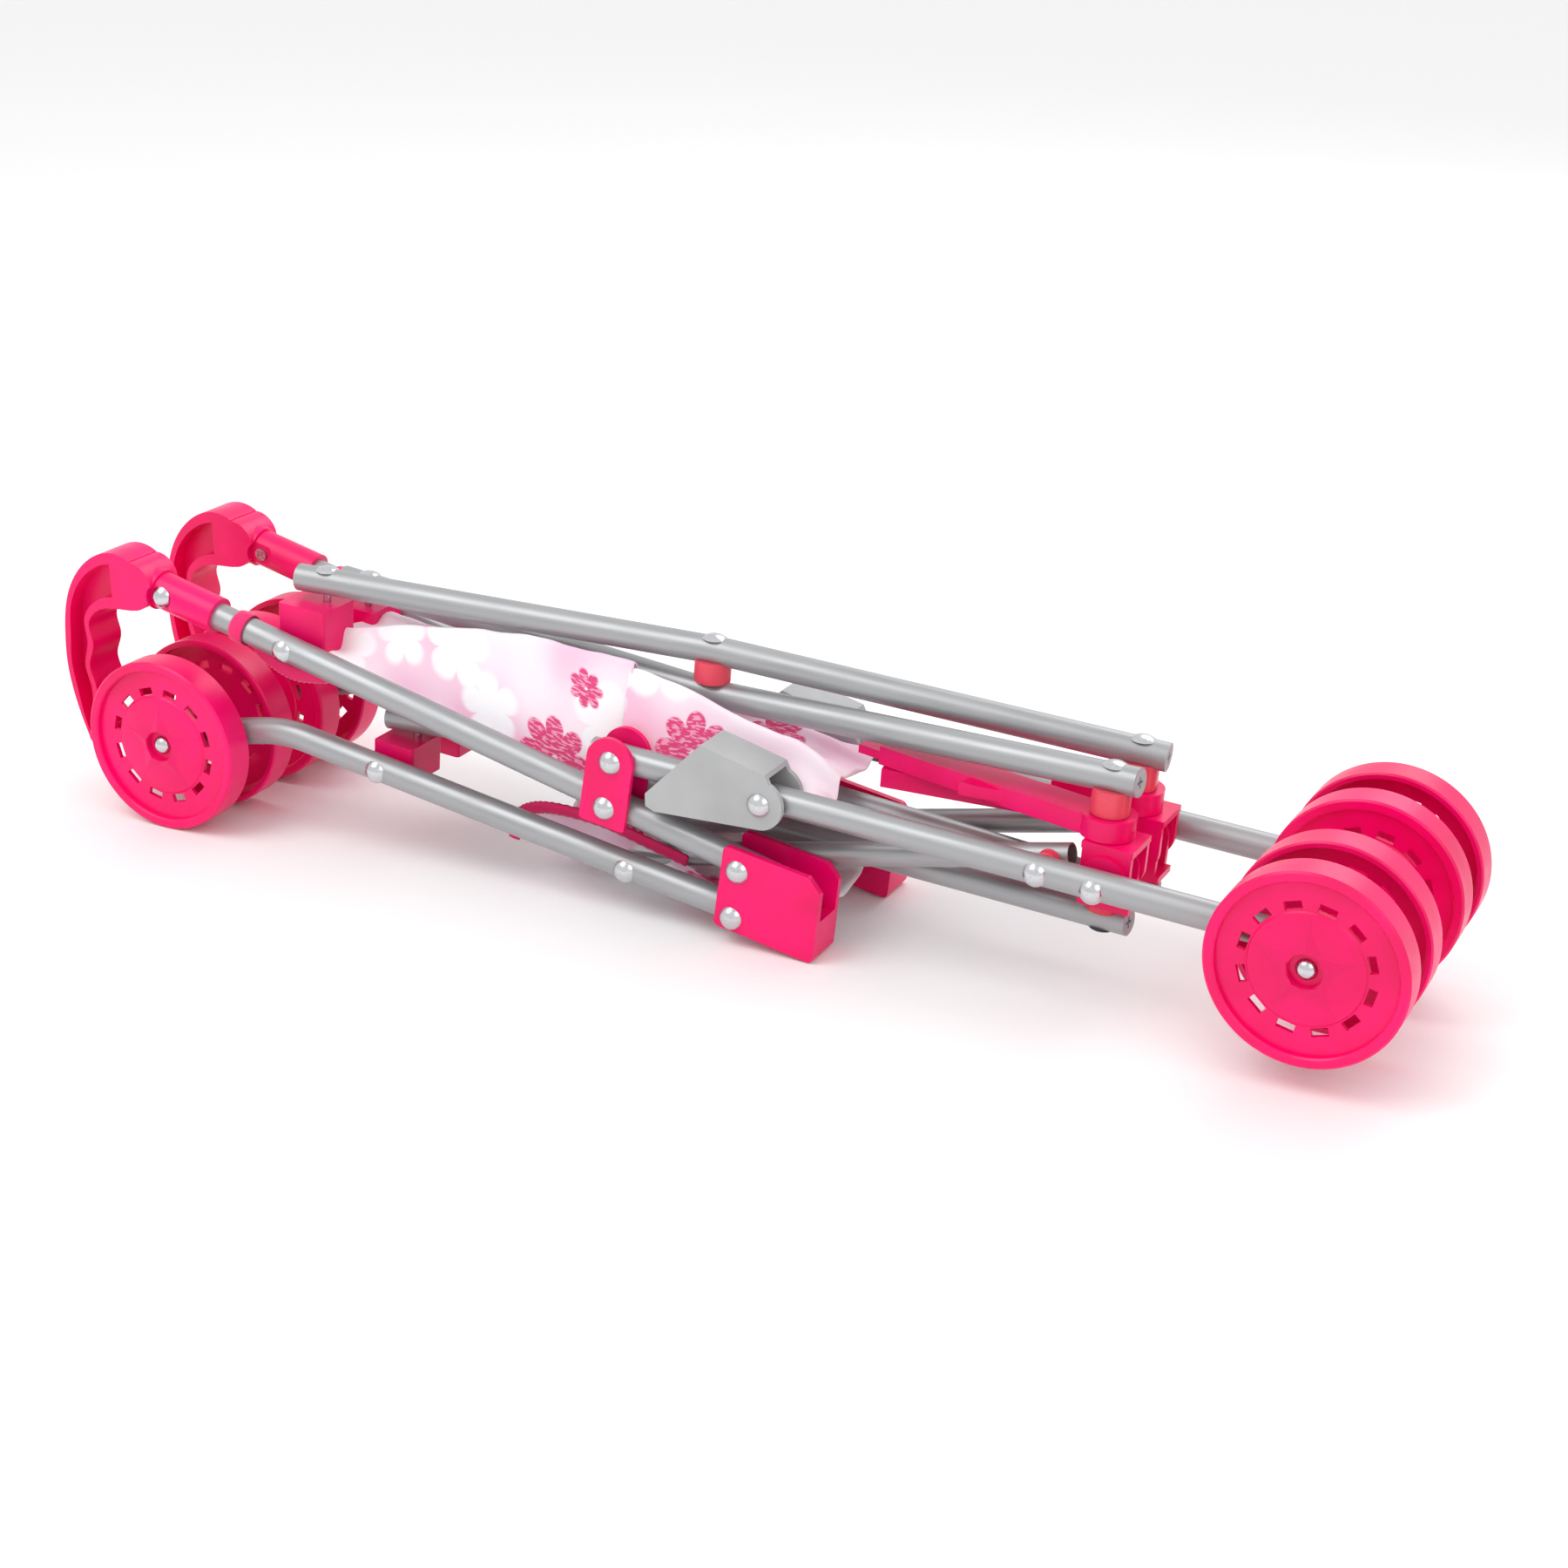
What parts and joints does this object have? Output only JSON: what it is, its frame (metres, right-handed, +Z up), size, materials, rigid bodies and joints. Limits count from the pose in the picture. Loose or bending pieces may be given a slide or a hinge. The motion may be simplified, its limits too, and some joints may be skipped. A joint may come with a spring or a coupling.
{
  "type": "doll stroller",
  "caption": "Folding umbrella-frame doll stroller, lying folded: crossing tube braces, twin-disc wheels, hook grips and a fabric sling.",
  "frame": {"origin": "middle of the folded length and width, on the floor", "axes": "+X from the handles towards the rear wheels, +Y to the far side, +Z up"},
  "size_m": [0.6769, 0.133, 0.1321],
  "materials": {
    "tube_silver": "satin silver paint",
    "pink_plastic": "smooth moulded",
    "spacer_coral": "slightly translucent",
    "latch_grey": "satin moulded",
    "plug_grey": "matte",
    "rivet_steel": "polished",
    "axle_steel": "polished",
    "sling_fabric": "printed woven polyester"
  },
  "bodies": {
    "front_axle_near": {"front_axle_near": "axle_steel"},
    "front_leg_near": {"front_leg_near": "tube_silver", "front_bracket_near": "pink_plastic", "front_leg_rivets_near": "rivet_steel"},
    "handle_near": {"handle_tube_near": "tube_silver", "grip_near": "pink_plastic", "link_plates_near": "pink_plastic", "handle_rivets_near": "rivet_steel", "back_sling": "sling_fabric"},
    "rear_leg_near": {"rear_leg_near": "tube_silver", "rear_leg_rivets_near": "rivet_steel", "rear_axle_near": "axle_steel", "lower_sling": "sling_fabric"},
    "seat_near": {"seat_tube_near": "tube_silver", "seat_sling": "sling_fabric"},
    "handle_block_near": {"handle_block_near": "pink_plastic"},
    "leg_block_near": {"leg_block_near": "pink_plastic"},
    "upper_yoke_near": {"upper_yoke_near": "pink_plastic"},
    "lower_yoke_near": {"lower_yoke_near": "pink_plastic"},
    "spreader_arm_near": {"spreader_arm_near": "pink_plastic"},
    "latch_near": {"latch_near": "latch_grey"},
    "front_wheels_near": {"front_wheels_near": "pink_plastic"},
    "rear_wheels_near": {"rear_wheels_near": "pink_plastic"},
    "front_leg_far": {"front_leg_far": "tube_silver", "front_bracket_far": "pink_plastic", "front_leg_rivets_far": "rivet_steel", "front_axle_far": "axle_steel"},
    "handle_far": {"handle_tube_far": "tube_silver", "grip_far": "pink_plastic", "link_plates_far": "pink_plastic", "handle_rivets_far": "rivet_steel"},
    "rear_leg_far": {"rear_leg_far": "tube_silver", "rear_leg_rivets_far": "rivet_steel", "rear_axle_far": "axle_steel"},
    "seat_far": {"seat_tube_far": "tube_silver"},
    "handle_block_far": {"handle_block_far": "pink_plastic"},
    "leg_block_far": {"leg_block_far": "pink_plastic"},
    "upper_yoke_far": {"upper_yoke_far": "pink_plastic"},
    "lower_yoke_far": {"lower_yoke_far": "pink_plastic"},
    "spreader_arm_far": {"spreader_arm_far": "pink_plastic"},
    "latch_far": {"latch_far": "latch_grey"},
    "front_wheels_far": {"front_wheels_far": "pink_plastic"},
    "rear_wheels_far": {"rear_wheels_far": "pink_plastic"},
    "upper_brace_1": {"upper_brace_1": "tube_silver", "upper_brace_1_plugs": "plug_grey", "upper_brace_1_rivets": "rivet_steel", "upper_brace_1_spacers": "spacer_coral"},
    "lower_brace_1": {"lower_brace_1": "tube_silver", "lower_brace_1_plugs": "plug_grey", "lower_brace_1_rivets": "rivet_steel", "lower_brace_1_pads": "spacer_coral"},
    "upper_brace_2": {"upper_brace_2": "tube_silver", "upper_brace_2_plugs": "plug_grey", "upper_brace_2_rivets": "rivet_steel", "upper_brace_2_spacers": "spacer_coral"},
    "lower_brace_2": {"lower_brace_2": "tube_silver", "lower_brace_2_plugs": "plug_grey", "lower_brace_2_rivets": "rivet_steel", "lower_brace_2_pads": "spacer_coral"}
  },
  "joints": [
    {"name": "front_leg_stand", "type": "hinge", "parent": "front_axle_near", "child": "front_leg_near", "pos_m": [-0.2745, 0, 0.0425], "axis": [0, -1, 0], "range_deg": [0, 53.82]},
    {"name": "fold", "type": "hinge", "parent": "front_leg_near", "child": "handle_near", "pos_m": [0.03411, 0, 0.03629], "axis": [0, 1, 0], "range_deg": [0, 170]},
    {"name": "handle_far_spread", "type": "slide", "parent": "handle_near", "child": "handle_far", "axis": [0, 1, 0], "range_m": [0, 0.17216]},
    {"name": "front_leg_far_fold", "type": "hinge", "parent": "handle_far", "child": "front_leg_far", "pos_m": [0.03411, 0, 0.03629], "axis": [0, -1, 0], "range_deg": [0, 170]},
    {"name": "rear_leg_near_fold", "type": "hinge", "parent": "handle_near", "child": "rear_leg_near", "pos_m": [-0.03106, 0, 0.07516], "axis": [0, -1, 0], "range_deg": [0, 58.49]},
    {"name": "rear_leg_far_spread", "type": "slide", "parent": "rear_leg_near", "child": "rear_leg_far", "axis": [0, 1, 0], "range_m": [0, 0.17216]},
    {"name": "seat_near_fold", "type": "hinge", "parent": "rear_leg_near", "child": "seat_near", "pos_m": [0.17217, 0, 0.06253], "axis": [0, -1, 0], "range_deg": [0, 22.81]},
    {"name": "seat_far_spread", "type": "slide", "parent": "seat_near", "child": "seat_far", "axis": [0, 1, 0], "range_m": [0, 0.17216]},
    {"name": "handle_block_near_turn", "type": "hinge", "parent": "handle_near", "child": "handle_block_near", "pos_m": [-0.21137, 0, 0.0963], "axis": [0, -1, 0], "range_deg": [0, 33.29]},
    {"name": "leg_block_near_turn", "type": "hinge", "parent": "front_leg_near", "child": "leg_block_near", "pos_m": [-0.16102, 0, 0.0448], "axis": [0, 1, 0], "range_deg": [0, 59.13]},
    {"name": "upper_yoke_near_turn", "type": "hinge", "parent": "rear_leg_near", "child": "upper_yoke_near", "pos_m": [0.19753, 0, 0.05989], "axis": [0, 1, 0], "range_deg": [0, 25.21]},
    {"name": "lower_yoke_near_turn", "type": "hinge", "parent": "rear_leg_near", "child": "lower_yoke_near", "pos_m": [0.19753, 0, 0.05989], "axis": [0, -1, 0], "range_deg": [0, 52.38]},
    {"name": "handle_block_far_turn", "type": "hinge", "parent": "handle_far", "child": "handle_block_far", "pos_m": [-0.21137, 0, 0.0963], "axis": [0, -1, 0], "range_deg": [0, 33.29]},
    {"name": "leg_block_far_turn", "type": "hinge", "parent": "front_leg_far", "child": "leg_block_far", "pos_m": [-0.16102, 0, 0.0448], "axis": [0, 1, 0], "range_deg": [0, 59.13]},
    {"name": "upper_yoke_far_turn", "type": "hinge", "parent": "rear_leg_far", "child": "upper_yoke_far", "pos_m": [0.19753, 0, 0.05989], "axis": [0, 1, 0], "range_deg": [0, 25.21]},
    {"name": "lower_yoke_far_turn", "type": "hinge", "parent": "rear_leg_far", "child": "lower_yoke_far", "pos_m": [0.19753, 0, 0.05989], "axis": [0, -1, 0], "range_deg": [0, 52.38]},
    {"name": "upper_brace_1_swing", "type": "hinge", "parent": "handle_block_near", "child": "upper_brace_1", "pos_m": [-0.20318, -0.017, 0.12439], "axis": [0.0588, 0, 0.9983], "range_deg": [0, 26.14]},
    {"name": "lower_brace_1_swing", "type": "hinge", "parent": "leg_block_near", "child": "lower_brace_1", "pos_m": [-0.15461, -0.017, 0.06264], "axis": [0.0731, 0, 0.9973], "range_deg": [0, 30.41]},
    {"name": "spreader_arm_near_swing", "type": "hinge", "parent": "upper_yoke_near", "child": "spreader_arm_near", "pos_m": [0.19483, -0.017, 0.10094], "axis": [-0.0588, 0, -0.9983], "range_deg": [0, 80.56]},
    {"name": "upper_brace_2_swing", "type": "hinge", "parent": "handle_block_far", "child": "upper_brace_2", "pos_m": [-0.20318, 0.017, 0.12439], "axis": [-0.0588, 0, -0.9983], "range_deg": [0, 26.14]},
    {"name": "lower_brace_2_swing", "type": "hinge", "parent": "leg_block_far", "child": "lower_brace_2", "pos_m": [-0.15461, 0.017, 0.06264], "axis": [-0.0731, 0, -0.9973], "range_deg": [0, 30.41]},
    {"name": "spreader_arm_far_swing", "type": "hinge", "parent": "upper_yoke_far", "child": "spreader_arm_far", "pos_m": [0.19483, 0.017, 0.10094], "axis": [0.0588, 0, 0.9983], "range_deg": [0, 80.56]},
    {"name": "latch_near_tilt", "type": "hinge", "parent": "rear_leg_near", "child": "latch_near", "pos_m": [0.04466, 0, 0.07043], "axis": [0, -1, 0], "range_deg": [-25, 8]},
    {"name": "latch_far_tilt", "type": "hinge", "parent": "rear_leg_far", "child": "latch_far", "pos_m": [0.04466, 0, 0.07043], "axis": [0, -1, 0], "range_deg": [-25, 8]},
    {"name": "front_wheels_near_spin", "type": "hinge", "parent": "front_axle_near", "child": "front_wheels_near", "pos_m": [-0.2745, 0, 0.0425], "axis": [0, 1, 0], "continuous": true},
    {"name": "front_wheels_far_spin", "type": "hinge", "parent": "front_leg_far", "child": "front_wheels_far", "pos_m": [-0.2745, 0, 0.0425], "axis": [0, 1, 0], "continuous": true},
    {"name": "rear_wheels_near_spin", "type": "hinge", "parent": "rear_leg_near", "child": "rear_wheels_near", "pos_m": [0.29556, 0, 0.05504], "axis": [0, 1, 0], "continuous": true},
    {"name": "rear_wheels_far_spin", "type": "hinge", "parent": "rear_leg_far", "child": "rear_wheels_far", "pos_m": [0.29556, 0, 0.05504], "axis": [0, 1, 0], "continuous": true}
  ],
  "couplings": [
    {"joint": "front_leg_stand", "follows": "fold", "ratio": 0.31661},
    {"joint": "handle_far_spread", "follows": "fold", "m_per_rad": 0.058022},
    {"joint": "front_leg_far_fold", "follows": "fold", "ratio": 1},
    {"joint": "rear_leg_near_fold", "follows": "fold", "ratio": 0.34408},
    {"joint": "rear_leg_far_spread", "follows": "fold", "m_per_rad": 0.058022},
    {"joint": "seat_near_fold", "follows": "fold", "ratio": 0.13419},
    {"joint": "seat_far_spread", "follows": "fold", "m_per_rad": 0.058022},
    {"joint": "handle_block_near_turn", "follows": "fold", "ratio": 0.1958},
    {"joint": "leg_block_near_turn", "follows": "fold", "ratio": 0.34782},
    {"joint": "upper_yoke_near_turn", "follows": "fold", "ratio": 0.14828},
    {"joint": "lower_yoke_near_turn", "follows": "fold", "ratio": 0.30809},
    {"joint": "handle_block_far_turn", "follows": "fold", "ratio": 0.1958},
    {"joint": "leg_block_far_turn", "follows": "fold", "ratio": 0.34782},
    {"joint": "upper_yoke_far_turn", "follows": "fold", "ratio": 0.14828},
    {"joint": "lower_yoke_far_turn", "follows": "fold", "ratio": 0.30809},
    {"joint": "upper_brace_1_swing", "follows": "fold", "ratio": 0.15374},
    {"joint": "lower_brace_1_swing", "follows": "fold", "ratio": 0.17886},
    {"joint": "spreader_arm_near_swing", "follows": "fold", "ratio": 0.47386},
    {"joint": "upper_brace_2_swing", "follows": "fold", "ratio": 0.15374},
    {"joint": "lower_brace_2_swing", "follows": "fold", "ratio": 0.17886},
    {"joint": "spreader_arm_far_swing", "follows": "fold", "ratio": 0.47386}
  ]
}
